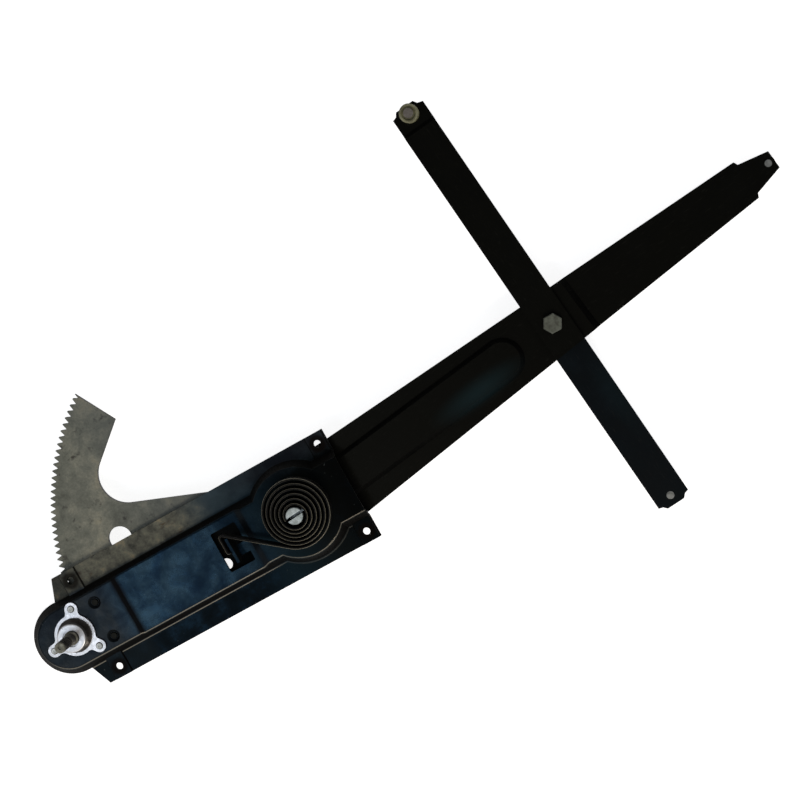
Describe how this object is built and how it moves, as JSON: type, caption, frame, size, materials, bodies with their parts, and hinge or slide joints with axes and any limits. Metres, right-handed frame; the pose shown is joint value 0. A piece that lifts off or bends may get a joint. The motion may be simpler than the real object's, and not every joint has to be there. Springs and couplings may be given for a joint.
{
  "type": "window regulator",
  "caption": "Manual vehicle window regulator: a crank pinion turns a toothed sector on a lift arm, which carries a crossed equalizer arm and rollers.",
  "frame": {"origin": "centre of the four mounting holes, on the front face of the mounting pads", "axes": "+Z out of the mounting pads towards the crank shaft, +X along the base plate from the crank to the pivot hub"},
  "size_m": [0.6169, 0.3291, 0.0702],
  "materials": {
    "black_coat": "satin",
    "zinc_casting": "satin",
    "bright_rivet": "satin",
    "nylon": "satin",
    "bare_steel": "satin",
    "bright_steel": "satin",
    "spring_steel": "satin",
    "bronze_steel": "satin",
    "sector_steel": "worn",
    "pivot_steel": "satin"
  },
  "bodies": {
    "base": {"base_plate": "black_coat", "crank_bearing": "zinc_casting", "bearing_rivets": "bright_rivet", "pinion_bridge": "black_coat", "sector_guide_buttons": "nylon", "pivot_bushing": "bare_steel", "counterbalance_spring": "spring_steel"},
    "crank": {"crank_shaft": "bronze_steel", "drive_pinion": "bare_steel", "brake_spring": "spring_steel"},
    "lift_arm": {"lift_arm": "black_coat", "sector_gear": "sector_steel", "pivot_hub": "bright_steel", "thrust_washer": "bare_steel", "arbor_retainer": "bare_steel", "sector_rivets": "bright_rivet", "lift_roller_stud": "bright_steel"},
    "equalizer": {"equalizer_front_arm": "black_coat", "equalizer_rear_arm": "black_coat", "equalizer_pivot": "pivot_steel", "cam_roller_stud": "bright_steel", "glass_roller_stud": "bright_steel"},
    "cam_roller": {"cam_roller": "nylon"},
    "equalizer_glass_roller": {"equalizer_glass_roller": "nylon"},
    "lift_glass_roller": {"lift_glass_roller": "nylon"}
  },
  "joints": [
    {"name": "lift", "type": "hinge", "parent": "base", "child": "lift_arm", "pos_m": [0.06667, 0, 0], "axis": [0, 0, 1], "range_deg": [-3, 54], "deforming": ["counterbalance_spring"]},
    {"name": "crank", "type": "hinge", "parent": "base", "child": "crank", "pos_m": [-0.11623, 0, 0], "axis": [0, 0, 1], "range_deg": [-1540, 86.5]},
    {"name": "equalizer_fold", "type": "hinge", "parent": "lift_arm", "child": "equalizer", "pos_m": [0.28409, 0.02862, 0], "axis": [0, 0, 1], "range_deg": [-127, 8]},
    {"name": "cam_roller_spin", "type": "hinge", "parent": "equalizer", "child": "cam_roller", "pos_m": [0.2686, 0.20053, -0.0016], "axis": [0, 0, 1], "continuous": true},
    {"name": "equalizer_glass_roller_spin", "type": "hinge", "parent": "equalizer", "child": "equalizer_glass_roller", "pos_m": [0.29697, -0.1143, -0.0188], "axis": [0, 0, 1], "continuous": true},
    {"name": "lift_glass_roller_spin", "type": "hinge", "parent": "lift_arm", "child": "lift_glass_roller", "pos_m": [0.46216, 0.05207, -0.0188], "axis": [0, 0, 1], "continuous": true}
  ],
  "couplings": [
    {"joint": "crank", "follows": "lift", "ratio": -28.5}
  ]
}
